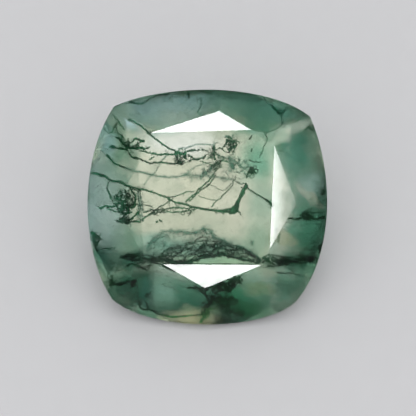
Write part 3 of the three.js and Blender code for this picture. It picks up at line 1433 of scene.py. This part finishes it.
NEAR_THREADS = (
    near_strand(((37, 553), (60, 562), (90, 572), (120, 576), (150, 598), (200, 612), (240, 625),
        (275, 642), (305, 647), (330, 655), (370, 660), (420, 675), (460, 692), (490, 708), (520, 722),
        (560, 735), (600, 742), (625, 752)), (0.25, 0.4), (0.13, 0.1), Habit.BEADED),
    near_strand(((560, 735), (600, 742), (625, 752), (660, 763), (700, 770), (740, 775), (790, 783),
        (830, 790), (880, 790), (905, 790)), (0.4, 0.5), (0.11, 0.2), Habit.BARE),
    near_strand(((700, 770), (790, 784), (850, 778), (880, 768), (900, 750), (915, 728)), (0.45, 0.5),
        (0.12, 0.2), Habit.BARE),
    near_strand(((860, 795), (905, 795), (912, 770), (918, 745), (925, 715), (935, 692), (945, 670),
        (958, 650), (970, 628)), (0.5, 0.5), (0.14, 0.17), Habit.BARE),
    near_strand(((872, 788), (893, 768), (910, 752), (905, 782)), (0.5, 0.5), (0.26, 0.2), Habit.BARE),
    near_strand(((920, 735), (938, 690), (952, 660), (968, 622)), (0.45, 0.5), (0.2, 0.14),
        Habit.BEADED),
    near_strand(((970, 630), (975, 648), (1000, 668), (1030, 688), (1060, 705), (1085, 725),
        (1107, 742)), (0.5, 0.6), (0.09, 0.09), Habit.BARE),
    near_strand(((1085, 725), (1105, 735), (1112, 755), (1108, 715)), (0.5, 0.5), (0.1, 0.1),
        Habit.FEATHERY),
    near_strand(((968, 622), (930, 620), (905, 608)), (0.5, 0.8), (0.08, 0.07), Habit.BARE),
    near_strand(((128, 450), (160, 480), (190, 505), (235, 526)), (0.3, 0.5), (0.13, 0.1), Habit.BEADED),
    near_strand(((158, 398), (190, 408), (230, 412), (270, 405), (310, 410), (350, 412), (388, 410)),
        (0.28, 0.28), (0.14, 0.12), Habit.BEADED),
    near_strand(((150, 405), (165, 395), (160, 412)), (0.28, 0.28), (0.12, 0.1), Habit.BEADED),
    near_strand(((255, 395), (285, 378), (305, 355), (330, 362), (348, 368)), (0.28, 0.28), (0.1, 0.14),
        Habit.BEADED),
    near_strand(((320, 408), (318, 388), (322, 378)), (0.28, 0.28), (0.08, 0.07), Habit.BEADED),
    near_strand(((180, 348), (200, 350), (215, 362), (225, 378), (240, 392), (250, 402)), (0.28, 0.28),
        (0.1, 0.1), Habit.BEADED),
    near_strand(((218, 332), (222, 352), (222, 375)), (0.25, 0.28), (0.13, 0.12), Habit.BEADED),
    near_strand(((262, 350), (262, 362), (255, 375), (240, 380)), (0.25, 0.28), (0.08, 0.07),
        Habit.BEADED),
    near_strand(((330, 425), (380, 440), (420, 447), (450, 453), (490, 448), (530, 445), (560, 450)),
        (0.3, 0.35), (0.07, 0.13), Habit.BEADED),
    near_strand(((258, 425), (270, 445), (290, 470), (310, 475), (350, 483), (380, 495), (420, 505),
        (470, 502), (515, 503), (560, 498), (585, 495)), (0.3, 0.35), (0.1, 0.11), Habit.BEADED),
    near_strand(((385, 480), (400, 470), (418, 462)), (0.35, 0.35), (0.06, 0.06), Habit.BEADED),
    near_strand(((265, 238), (300, 255), (330, 275), (370, 305), (395, 332), (430, 362), (460, 385),
        (490, 405), (520, 418), (560, 432)), (0.25, 0.35), (0.09, 0.13), Habit.BARE),
    near_strand(((165, 205), (185, 225), (205, 250), (225, 280), (245, 300)), (0.25, 0.28), (0.07, 0.08),
        Habit.BEADED),
    near_strand(((185, 265), (175, 290), (160, 312), (140, 318), (115, 292)), (0.25, 0.25), (0.06, 0.06),
        Habit.BEADED),
    near_strand(((205, 250), (190, 280), (200, 320), (218, 335)), (0.28, 0.28), (0.05, 0.07),
        Habit.BARE),
    near_strand(((155, 605), (137, 630), (137, 655), (148, 685), (155, 708)), (0.28, 0.28), (0.07, 0.1),
        Habit.BEADED),
    near_strand(((80, 760), (95, 765), (125, 755), (155, 758), (190, 750), (225, 742)), (0.28, 0.3),
        (0.12, 0.1), Habit.BEADED),
    near_strand(((130, 770), (155, 775), (180, 785), (210, 797), (240, 800)), (0.28, 0.3), (0.08, 0.08),
        Habit.BEADED),
    near_strand(((240, 660), (245, 675), (250, 700)), (0.28, 0.3), (0.1, 0.06), Habit.BEADED),
    near_strand(((275, 650), (295, 685), (308, 715), (307, 740), (290, 765), (280, 775)), (0.3, 0.3),
        (0.1, 0.13), Habit.BEADED),
    near_strand(((168, 730), (165, 720), (185, 712), (200, 720), (215, 705), (240, 712), (260, 700)),
        (0.3, 0.3), (0.07, 0.07), Habit.BEADED),
    near_strand(((190, 845), (215, 855), (250, 858), (275, 850), (310, 848), (330, 850)), (0.3, 0.35),
        (0.12, 0.1), Habit.BEADED),
    near_strand(((210, 835), (240, 830), (265, 835), (290, 825), (310, 800), (325, 795)), (0.3, 0.35),
        (0.09, 0.11), Habit.BEADED),
    near_strand(((235, 850), (228, 830), (235, 810), (255, 800), (285, 795)), (0.3, 0.35), (0.1, 0.1),
        Habit.BEADED),
    near_strand(((345, 748), (370, 750), (390, 758), (405, 765)), (0.45, 0.45), (0.06, 0.06),
        Habit.BARE),
    near_strand(((345, 840), (380, 810), (420, 785), (460, 755), (490, 738), (512, 722)), (0.5, 0.45),
        (0.07, 0.07), Habit.BARE),
    near_strand(((352, 795), (400, 785), (450, 780), (500, 770), (560, 765), (600, 768), (640, 772)),
        (0.5, 0.45), (0.09, 0.08), Habit.BEADED),
    near_strand(((355, 825), (400, 805), (450, 795), (520, 795), (580, 790), (640, 785), (680, 768)),
        (0.5, 0.45), (0.08, 0.06), Habit.BEADED),
    near_strand(((455, 752), (458, 765), (468, 775)), (0.5, 0.5), (0.04, 0.04), Habit.BARE),
    near_strand(((507, 725), (507, 760)), (0.5, 0.5), (0.045, 0.04), Habit.BARE),
    near_strand(((545, 740), (555, 755), (545, 775)), (0.5, 0.5), (0.06, 0.05), Habit.BARE),
    near_strand(((490, 703), (520, 700), (560, 695), (590, 682), (620, 672), (655, 672)), (0.5, 0.5),
        (0.07, 0.07), Habit.BARE),
    near_strand(((778, 550), (765, 575), (748, 600), (725, 620), (700, 645), (680, 660), (660, 685),
        (630, 710), (605, 735)), (0.6, 0.5), (0.07, 0.09), Habit.BARE),
    near_strand(((782, 572), (768, 595), (748, 622), (718, 645), (690, 665), (668, 688), (645, 708),
        (625, 730)), (0.65, 0.5), (0.07, 0.08), Habit.BARE),
    near_strand(((778, 550), (800, 530), (830, 522)), (0.6, 0.8), (0.06, 0.05), Habit.BARE),
    near_strand(((770, 545), (790, 525), (805, 505), (820, 490), (840, 480)), (0.65, 0.8), (0.05, 0.05),
        Habit.FEATHERY),
    near_strand(((905, 585), (890, 605), (882, 630), (865, 655), (840, 680), (815, 705), (795, 725),
        (770, 745), (757, 765)), (0.8, 0.5), (0.06, 0.07), Habit.BARE),
    near_strand(((878, 622), (850, 650), (830, 663), (800, 655), (770, 638), (745, 628)), (0.7, 0.6),
        (0.045, 0.04), Habit.BARE),
    near_strand(((680, 693), (710, 707), (740, 717), (775, 722), (795, 725)), (0.55, 0.55), (0.05, 0.05),
        Habit.BARE),
    near_strand(((610, 432), (640, 430), (665, 425), (683, 422)), (0.4, 0.45), (0.13, 0.09),
        Habit.BEADED),
    near_strand(((700, 420), (720, 428), (740, 435)), (0.45, 0.5), (0.1, 0.08), Habit.BEADED),
    near_strand(((620, 455), (650, 475), (665, 482), (690, 480), (710, 468), (725, 460)), (0.4, 0.5),
        (0.09, 0.12), Habit.BEADED),
    near_strand(((628, 490), (642, 482), (660, 482)), (0.4, 0.4), (0.13, 0.07), Habit.BEADED),
    near_strand(((690, 490), (720, 498), (745, 505), (765, 515), (780, 525)), (0.5, 0.6), (0.06, 0.07),
        Habit.BARE),
    near_strand(((740, 470), (765, 467)), (0.5, 0.5), (0.08, 0.07), Habit.BEADED),
    near_strand(((772, 400), (772, 425), (773, 450), (775, 480)), (0.6, 0.6), (0.08, 0.09),
        Habit.BEADED),
    near_strand(((775, 480), (800, 485), (830, 490), (860, 500)), (0.6, 0.8), (0.07, 0.06), Habit.BARE),
    near_strand(((775, 418), (790, 415), (812, 408), (825, 415)), (0.5, 0.5), (0.07, 0.11),
        Habit.BEADED),
    near_strand(((820, 415), (835, 400), (848, 380), (852, 362)), (0.5, 0.5), (0.06, 0.1), Habit.BEADED),
    near_strand(((820, 415), (835, 430), (850, 437), (868, 440)), (0.5, 0.5), (0.06, 0.06), Habit.BARE),
    near_strand(((852, 362), (870, 378), (882, 390), (897, 370)), (0.5, 0.5), (0.08, 0.1), Habit.BEADED),
    near_strand(((868, 440), (868, 425), (880, 412), (895, 405), (910, 395), (905, 380)), (0.5, 0.5),
        (0.08, 0.09), Habit.BEADED),
    near_strand(((870, 405), (875, 425), (885, 440), (897, 433)), (0.5, 0.5), (0.06, 0.08),
        Habit.BEADED),
    near_strand(((790, 445), (830, 470), (850, 488), (865, 495)), (0.6, 0.7), (0.05, 0.05), Habit.BARE),
    near_strand(((985, 525), (998, 530), (1005, 545), (1025, 560)), (0.45, 0.45), (0.08, 0.1),
        Habit.BEADED),
    near_strand(((1000, 530), (985, 550), (975, 562), (965, 590)), (0.45, 0.5), (0.09, 0.1),
        Habit.BEADED),
    near_strand(((985, 558), (1005, 558)), (0.45, 0.45), (0.09, 0.08), Habit.BEADED),
    near_strand(((980, 482), (1000, 490), (1020, 498), (1055, 497)), (0.5, 0.8), (0.07, 0.07),
        Habit.BARE),
    near_strand(((1000, 333), (997, 345), (988, 360)), (0.4, 0.4), (0.05, 0.11), Habit.BARE),
    near_strand(((998, 412), (996, 437)), (0.45, 0.45), (0.05, 0.08), Habit.BARE),
    near_strand(((1075, 322), (1085, 345), (1086, 372), (1073, 400), (1060, 430), (1045, 468)), (0.4, 1),
        (0.07, 0.05), Habit.BARE),
    near_strand(((432, 845), (436, 855)), (0.3, 0.3), (0.13, 0.12), Habit.BARE),
    near_strand(((447, 840), (455, 843), (465, 853)), (0.3, 0.3), (0.12, 0.12), Habit.BARE),
    near_strand(((560, 440), (582, 440), (600, 450), (600, 475)), (0.35, 0.4), (0.22, 0.14),
        Habit.BEADED),
    near_strand(((600, 430), (605, 450), (598, 472)), (0.35, 0.4), (0.1, 0.14), Habit.BEADED),
    near_strand(((620, 70), (622, 85), (625, 102)), (0.15, 0.2), (0.14, 0.1), Habit.BARE),
    near_strand(((690, 68), (730, 75), (765, 88)), (0.15, 0.2), (0.1, 0.06), Habit.BEADED),
    near_strand(((700, 110), (695, 150), (690, 180), (672, 195)), (0.3, 0.3), (0.05, 0.05), Habit.BARE),
    near_strand(((672, 195), (690, 200), (712, 214)), (0.3, 0.3), (0.08, 0.06), Habit.BEADED),
    near_strand(((262, 130), (290, 132), (320, 142), (360, 135), (400, 105)), (0.2, 0.2), (0.1, 0.06),
        Habit.BEADED),
    near_strand(((400, 105), (450, 85), (500, 72)), (0.15, 0.12), (0.07, 0.09), Habit.BEADED),
    near_strand(((1118, 150), (1150, 175), (1170, 200), (1190, 190), (1203, 172)), (0.2, 0.2),
        (0.08, 0.07), Habit.BEADED),
    near_strand(((1175, 200), (1178, 235), (1172, 275), (1130, 300), (1085, 320)), (0.25, 0.4),
        (0.06, 0.06), Habit.BARE),
    near_strand(((1310, 300), (1340, 290), (1370, 300)), (0.2, 0.2), (0.09, 0.08), Habit.BEADED),
    near_strand(((1222, 828), (1260, 832), (1300, 820), (1325, 795), (1365, 765)), (0.3, 0.25),
        (0.12, 0.08), Habit.BEADED),
    near_strand(((1300, 820), (1350, 830), (1400, 835), (1445, 820)), (0.3, 0.2), (0.12, 0.13),
        Habit.BEADED),
    near_strand(((1330, 840), (1345, 815), (1375, 800), (1410, 795)), (0.3, 0.25), (0.06, 0.06),
        Habit.BEADED),
    near_strand(((1428, 655), (1435, 670), (1422, 690)), (0.15, 0.15), (0.13, 0.1), Habit.BEADED),
    near_strand(((35, 912), (60, 930), (85, 950), (103, 962)), (0.2, 0.25), (0.2, 0.12), Habit.BEADED),
    near_strand(((45, 940), (62, 965), (60, 995)), (0.2, 0.2), (0.14, 0.1), Habit.BEADED),
    near_strand(((85, 950), (80, 975), (65, 1000), (75, 1030)), (0.22, 0.2), (0.1, 0.08), Habit.BEADED),
    near_strand(((105, 1012), (140, 1015), (160, 1005), (185, 1000)), (0.28, 0.3), (0.05, 0.05),
        Habit.BEADED),
    near_strand(((210, 1058), (235, 1062), (260, 1060), (300, 1050)), (0.35, 0.4), (0.12, 0.08),
        Habit.BEADED),
    near_strand(((240, 1120), (262, 1108), (290, 1100), (330, 1118), (370, 1138)), (0.35, 0.45),
        (0.08, 0.09), Habit.BEADED),
    near_strand(((370, 1138), (392, 1125), (400, 1110)), (0.45, 0.45), (0.07, 0.06), Habit.BEADED),
    near_strand(((150, 1212), (160, 1222), (200, 1225), (240, 1215), (280, 1200), (312, 1203)),
        (0.25, 0.35), (0.12, 0.09), Habit.BEADED),
    near_strand(((200, 1225), (205, 1237), (218, 1236)), (0.3, 0.3), (0.13, 0.1), Habit.BEADED),
    near_strand(((312, 1203), (305, 1225), (290, 1240), (278, 1250)), (0.35, 0.35), (0.08, 0.05),
        Habit.BEADED),
    near_strand(((150, 1195), (155, 1212), (145, 1232)), (0.2, 0.2), (0.12, 0.1), Habit.BEADED),
    near_strand(((248, 1262), (262, 1290), (285, 1312)), (0.3, 0.3), (0.04, 0.04), Habit.BARE),
    near_strand(((355, 1378), (400, 1386), (450, 1405), (500, 1415), (550, 1422), (600, 1418),
        (650, 1412), (712, 1403)), (0.1, 0.1), (0.13, 0.08), Habit.BEADED),
    near_strand(((360, 1325), (375, 1350), (382, 1372)), (0.3, 0.28), (0.05, 0.06), Habit.BEADED),
    near_strand(((325, 1330), (330, 1360), (355, 1380)), (0.12, 0.12), (0.1, 0.1), Habit.BEADED),
    near_strand(((612, 1252), (625, 1245), (660, 1243), (690, 1245), (705, 1268), (725, 1285)),
        (0.28, 0.3), (0.12, 0.1), Habit.BEADED),
    near_strand(((690, 1245), (715, 1245), (745, 1238)), (0.28, 0.3), (0.1, 0.07), Habit.BEADED),
    near_strand(((620, 1236), (635, 1245)), (0.28, 0.28), (0.08, 0.08), Habit.BEADED),
    near_strand(((695, 1338), (712, 1335), (728, 1342), (745, 1345)), (0.3, 0.35), (0.11, 0.08),
        Habit.BEADED),
    near_strand(((752, 1365), (742, 1378), (735, 1395), (720, 1418), (706, 1440), (697, 1452)),
        (0.35, 0.2), (0.13, 0.16), Habit.BEADED),
    near_strand(((745, 1372), (775, 1370), (800, 1355), (850, 1365)), (0.35, 0.5), (0.12, 0.07),
        Habit.BEADED),
    near_strand(((755, 1240), (800, 1240), (835, 1228), (865, 1210), (890, 1195)), (0.35, 0.45),
        (0.13, 0.17), Habit.BEADED),
    near_strand(((890, 1215), (910, 1215), (932, 1220)), (0.35, 0.35), (0.1, 0.06), Habit.BEADED),
    near_strand(((870, 1235), (845, 1250), (800, 1255), (760, 1262)), (0.4, 0.5), (0.12, 0.12),
        Habit.FEATHERY),
    near_strand(((1150, 1150), (1200, 1155), (1250, 1160), (1292, 1176)), (0.3, 0.3), (0.06, 0.06),
        Habit.BEADED),
    near_strand(((1215, 1128), (1240, 1142), (1262, 1152)), (0.3, 0.3), (0.07, 0.06), Habit.BEADED),
    near_strand(((790, 1455), (812, 1440), (830, 1428)), (0.2, 0.25), (0.08, 0.06), Habit.BEADED),
    near_strand(((1378, 1000), (1400, 1018), (1420, 1008), (1432, 990)), (0.2, 0.15), (0.05, 0.05),
        Habit.BEADED),
)

NEAR_TUFTS = (
    Tuft(spot(245, 392), 0.16, (0.46, 0.34), 16, 40, 0.045),
    Tuft(spot(285, 405), 0.28, (0.4, 0.14), 16, 50, 0.05),
    Tuft(spot(580, 442), 0.35, (0.38, 0.3), 12, 36, 0.045),
    Tuft(spot(236, 728), 0.16, (0.74, 0.7), 92, 120, 0.055),
    Tuft(spot(240, 780), 0.16, (0.5, 0.36), 28, 50, 0.055),
    Tuft(spot(245, 838), 0.16, (0.45, 0.2), 18, 40, 0.055),
    Tuft(spot(318, 660), 0.45, (0.36, 0.22), 12, 30, 0.04),
    Tuft(spot(600, 790), 0.5, (0.8, 0.12), 14, 30, 0.035),
    Tuft(spot(450, 790), 0.5, (0.6, 0.1), 16, 40, 0.035),
    Tuft(spot(880, 395), 0.5, (0.34, 0.42), 34, 110, 0.045),
    Tuft(spot(770, 440), 0.6, (0.3, 0.4), 20, 60, 0.04),
    Tuft(spot(790, 515), 0.7, (0.3, 0.25), 22, 60, 0.04),
    Tuft(spot(1002, 545), 0.45, (0.18, 0.25), 14, 50, 0.05),
    Tuft(spot(900, 775), 0.5, (0.2, 0.2), 14, 90, 0.07),
    Tuft(spot(580, 495), 0.45, (0.24, 0.14), 12, 40, 0.05),
    Tuft(spot(550, 480), 0.4, (0.16, 0.2), 8, 30, 0.04),
    Tuft(spot(700, 1250), 0.35, (0.5, 0.18), 16, 50, 0.05),
    Tuft(spot(735, 1370), 0.35, (0.16, 0.3), 14, 60, 0.06),
    Tuft(spot(1330, 815), 0.14, (0.6, 0.3), 30, 100, 0.05),
    Tuft(spot(60, 950), 0.12, (0.24, 0.38), 22, 60, 0.05),
    Tuft(spot(1160, 190), 0.22, (0.3, 0.25), 12, 40, 0.05),
    Tuft(spot(1415, 1010), 0.2, (0.2, 0.25), 16, 50, 0.05),
    Tuft(spot(290, 1215), 0.12, (0.3, 0.25), 14, 40, 0.045),
    Tuft(spot(165, 1215), 0.1, (0.3, 0.22), 14, 40, 0.05),
    Tuft(spot(830, 1240), 0.1, (0.8, 0.36), 70, 200, 0.06),
    Tuft(spot(905, 1200), 0.1, (0.4, 0.28), 30, 110, 0.06),
    Tuft(spot(775, 1310), 0.1, (0.5, 0.5), 56, 150, 0.055),
    Tuft(spot(722, 1400), 0.1, (0.26, 0.45), 34, 120, 0.055),
    Tuft(spot(560, 100), 0.08, (1.3, 0.2), 8, 50, 0.032),
    Tuft(spot(800, 100), 0.08, (1.6, 0.25), 10, 70, 0.032),
    Tuft(spot(1040, 125), 0.08, (1, 0.3), 9, 60, 0.032),
    Tuft(spot(1225, 240), 0.08, (0.8, 0.6), 10, 50, 0.032),
    Tuft(spot(1405, 700), 0.08, (0.25, 1.2), 10, 50, 0.035),
    Tuft(spot(1370, 1010), 0.08, (0.45, 1), 14, 70, 0.038),
    Tuft(spot(150, 1150), 0.08, (0.6, 0.8), 16, 90, 0.038),
    Tuft(spot(330, 1300), 0.08, (0.9, 0.4), 14, 70, 0.038),
    Tuft(spot(1150, 1260), 0.08, (1.3, 0.6), 12, 70, 0.035),
    Tuft(spot(520, 1230), 0.08, (1, 0.5), 6, 40, 0.03),
    Tuft(spot(860, 1330), 0.12, (0.6, 0.4), 40, 120, 0.05),
    Tuft(spot(900, 1400), 0.1, (0.7, 0.25), 26, 100, 0.045),
    Tuft(spot(1115, 1080), 0.2, (0.45, 0.26), 18, 40, 0.045),
    Tuft(spot(1200, 1086), 0.18, (0.5, 0.28), 20, 50, 0.045),
    Tuft(spot(1290, 1080), 0.16, (0.5, 0.28), 20, 50, 0.045),
    Tuft(spot(1365, 1072), 0.14, (0.35, 0.28), 16, 40, 0.045),
    Tuft(spot(300, 1060), 0.3, (0.7, 0.24), 18, 50, 0.045),
    Tuft(spot(420, 1085), 0.4, (0.4, 0.2), 12, 40, 0.05),
)

DEEP_THREADS = (
    Thread(route((235, 526), (270, 535), (300, 545), (350, 555), (400, 570), (450, 578), (500, 582),
        (560, 578), (620, 570), (680, 578), (740, 578), (790, 582), (830, 590), (880, 603), (930, 618)),
        (0.9, 2.6), (0.13, 0.07), Habit.BARE),
    Thread(route((318, 655), (322, 700), (325, 740), (318, 790), (322, 845)), (1, 1), (0.06, 0.06),
        Habit.BEADED),
    Thread(route((338, 655), (335, 690), (340, 730), (335, 770), (340, 800), (338, 855)), (1.1, 1.1),
        (0.05, 0.06), Habit.BEADED),
    Thread(route((500, 440), (470, 480), (445, 520), (420, 555), (385, 590), (350, 640)), (0.8, 1.4),
        (0.08, 0.06), Habit.BARE),
    Thread(route((560, 412), (600, 410), (640, 400), (670, 390), (700, 385), (740, 390), (772, 393),
        (776, 370)), (0.8, 1), (0.07, 0.08), Habit.BARE),
    Thread(route((715, 530), (722, 552), (735, 570), (748, 592)), (1, 1), (0.06, 0.06), Habit.BARE),
    Thread(route((610, 560), (650, 530), (690, 515), (735, 500), (770, 490)), (1.4, 1.2), (0.07, 0.05),
        Habit.BARE),
    Thread(route((700, 600), (715, 560), (760, 530), (790, 500), (820, 480)), (1.4, 1.2), (0.09, 0.06),
        Habit.FEATHERY),
    Thread(route((800, 450), (850, 470), (880, 500), (900, 530)), (1, 1.2), (0.08, 0.07),
        Habit.FEATHERY),
    Thread(route((870, 470), (880, 510), (875, 545)), (1.2, 1.3), (0.1, 0.08), Habit.FEATHERY),
    Thread(route((915, 480), (925, 510), (955, 535), (975, 520), (965, 490)), (1.3, 1.3), (0.07, 0.06),
        Habit.FEATHERY),
    Thread(route((900, 560), (935, 550), (960, 565), (975, 590)), (1.2, 1), (0.06, 0.06),
        Habit.FEATHERY),
    Thread(route((850, 350), (880, 345), (890, 330)), (1, 1.2), (0.12, 0.1), Habit.FEATHERY),
    Thread(route((370, 1015), (395, 975), (430, 955), (480, 940)), (1.8, 1.9), (0.12, 0.1), Habit.BARE),
    Thread(route((440, 935), (455, 915), (520, 907), (600, 912), (650, 915), (700, 900), (742, 897)),
        (2, 1.8), (0.1, 0.14), Habit.BARE),
    Thread(route((742, 897), (765, 920), (780, 945), (830, 960), (870, 985), (930, 1000), (1000, 1035),
        (1055, 1078)), (1.7, 1.2), (0.14, 0.12), Habit.BARE),
    Thread(route((700, 900), (730, 925), (760, 940), (780, 960)), (1.3, 1.3), (0.1, 0.1),
        Habit.FEATHERY),
    Thread(route((1150, 880), (1165, 930), (1160, 980)), (1.8, 1.8), (0.14, 0.1), Habit.BARE),
    Thread(route((990, 960), (1000, 990), (1010, 960)), (1.8, 1.8), (0.1, 0.1), Habit.BARE),
)

DEEP_TUFTS = (
    Tuft(spot(925, 520), 1.3, (0.6, 0.45), 18, 30, 0.045),
    Tuft(spot(870, 530), 1.1, (0.25, 0.3), 8, 24, 0.05),
    Tuft(spot(740, 540), 1.3, (0.4, 0.3), 12, 24, 0.045),
    Tuft(spot(890, 480), 1.2, (0.4, 0.3), 12, 24, 0.045),
    Tuft(spot(640, 575), 2.2, (0.8, 0.22), 8, 40, 0.05),
    Tuft(spot(328, 745), 1, (0.14, 0.9), 12, 40, 0.04),
    Tuft(spot(860, 590), 1.8, (0.7, 0.18), 8, 24, 0.05),
)

DEEP_DRIFTS = (
    Drift(route((330, 1040), (370, 1020), (430, 1000), (500, 1000), (560, 985), (640, 975), (720, 950),
        (770, 960), (850, 1000), (930, 1035), (1020, 1070)), (2.4, 2.4), (0.26, 0.26), 80, 0.09),
    Drift(route((400, 980), (430, 940), (480, 925), (540, 915), (620, 920), (700, 910), (750, 905),
        (780, 950)), (2.2, 2.2), (0.12, 0.14), 70, 0.08),
)

DARK_THREADS = (
    Thread(route((440, 1076), (500, 1084), (560, 1094), (600, 1096)), (0.9, 0.9), (0.22, 0.26),
        Habit.BEADED),
    Thread(route((600, 1098), (640, 1080), (690, 1067), (740, 1058), (800, 1053), (850, 1053),
        (900, 1060), (960, 1076), (1045, 1093)), (0.9, 0.8), (0.2, 0.12), Habit.BEADED),
    Thread(route((520, 1088), (560, 1098), (610, 1100), (650, 1092)), (0.7, 0.7), (0.26, 0.12),
        Habit.BEADED),
    Thread(route((470, 1100), (520, 1140), (545, 1150)), (0.5, 0.5), (0.14, 0.14), Habit.BEADED),
    Thread(route((600, 1103), (800, 1101), (1050, 1099)), (0.3, 0.3), (0.05, 0.05), Habit.BARE),
)

DARK_MATS = (
    Mat(route((440, 1050), (500, 1010), (560, 995), (640, 975), (720, 960), (800, 965), (870, 985),
        (940, 1005), (1000, 1035), (1055, 1075)), route((440, 1078), (500, 1085), (560, 1092),
        (600, 1095), (650, 1078), (720, 1060), (800, 1053), (870, 1056), (950, 1075), (1055, 1095)),
        (1, 1.4), 15, 0.075, (gap(685, 985, 14), gap(780, 1040, 14), gap(865, 1010, 14),
        gap(932, 1027, 16), gap(640, 1010, 12))),
    Mat(route((450, 1040), (520, 1000), (600, 985), (700, 940), (770, 945), (840, 965)),
        route((450, 1060), (520, 1040), (600, 1030), (700, 1010), (770, 1010), (840, 1010)), (1.6, 1.9),
        5, 0.05, (gap(650, 950, 20), gap(690, 985, 12))),
    Mat(route((1060, 1062), (1100, 1045), (1160, 1052), (1220, 1060), (1300, 1058), (1372, 1048)),
        route((1060, 1105), (1100, 1118), (1160, 1118), (1220, 1112), (1300, 1100), (1372, 1090)),
        (0.35, 0.2), 16, 0.045, (gap(1240, 1075, 14),)),
    Mat(route((215, 1052), (290, 1040), (350, 1030), (440, 1062)), route((225, 1070), (300, 1085),
        (370, 1100), (440, 1100)), (0.5, 0.7), 9, 0.07),
    Mat(route((290, 1100), (340, 1090), (400, 1090)), route((300, 1118), (350, 1135), (405, 1125)),
        (0.5, 0.6), 5, 0.05),
)

DARK_DRIFTS = (
    Drift(route((1070, 1085), (1151, 1085), (1250, 1080), (1380, 1070)), (0.7, 0.5), (0.16, 0.14), 80,
        0.07),
    Drift(route((770, 1260), (830, 1290), (850, 1340), (800, 1370)), (1.3, 1.2), (0.35, 0.3), 120, 0.09),
)


def main() -> None:
    """Build the stone, its moss and the studio, and report each piece."""
    logging.basicConfig(level=logging.INFO, format="%(name)s: %(message)s")
    cutters = CuttersFrame.from_record(frame["record"])
    node = frame["nodes"]["moss_agate"]
    finish = ClearAgate()
    stone = Stone(cutters, finish).build(node)
    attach(stone, "root")
    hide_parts("moss_agate")
    LOG.info("%s: %d faces", stone.name, len(stone.data.polygons))
    seen = SeenPlace.through(cutters, node, finish.bending)
    near = MossStain("Dark green moss", (20, 82, 58), (66, 154, 112))
    deep = MossStain("Grey green moss", (74, 146, 132), (132, 192, 176))
    dark = MossStain("Black green moss", (4, 52, 40), (34, 108, 84))
    beds = (
        MossBed("near_moss", near, seen, 11, NEAR_THREADS, NEAR_TUFTS),
        MossBed("deep_moss", deep, seen, 23, DEEP_THREADS, DEEP_TUFTS, drifts=DEEP_DRIFTS),
        MossBed("dark_moss", dark, seen, 37, DARK_THREADS, mats=DARK_MATS, drifts=DARK_DRIFTS),
    )
    for bed in beds:
        for piece in bed.build():
            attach(piece, "root")
            LOG.info("%s: %d faces", piece.name, len(piece.data.polygons))
    Studio(cutters, seen).build()


if __name__ == "__main__":
    main()
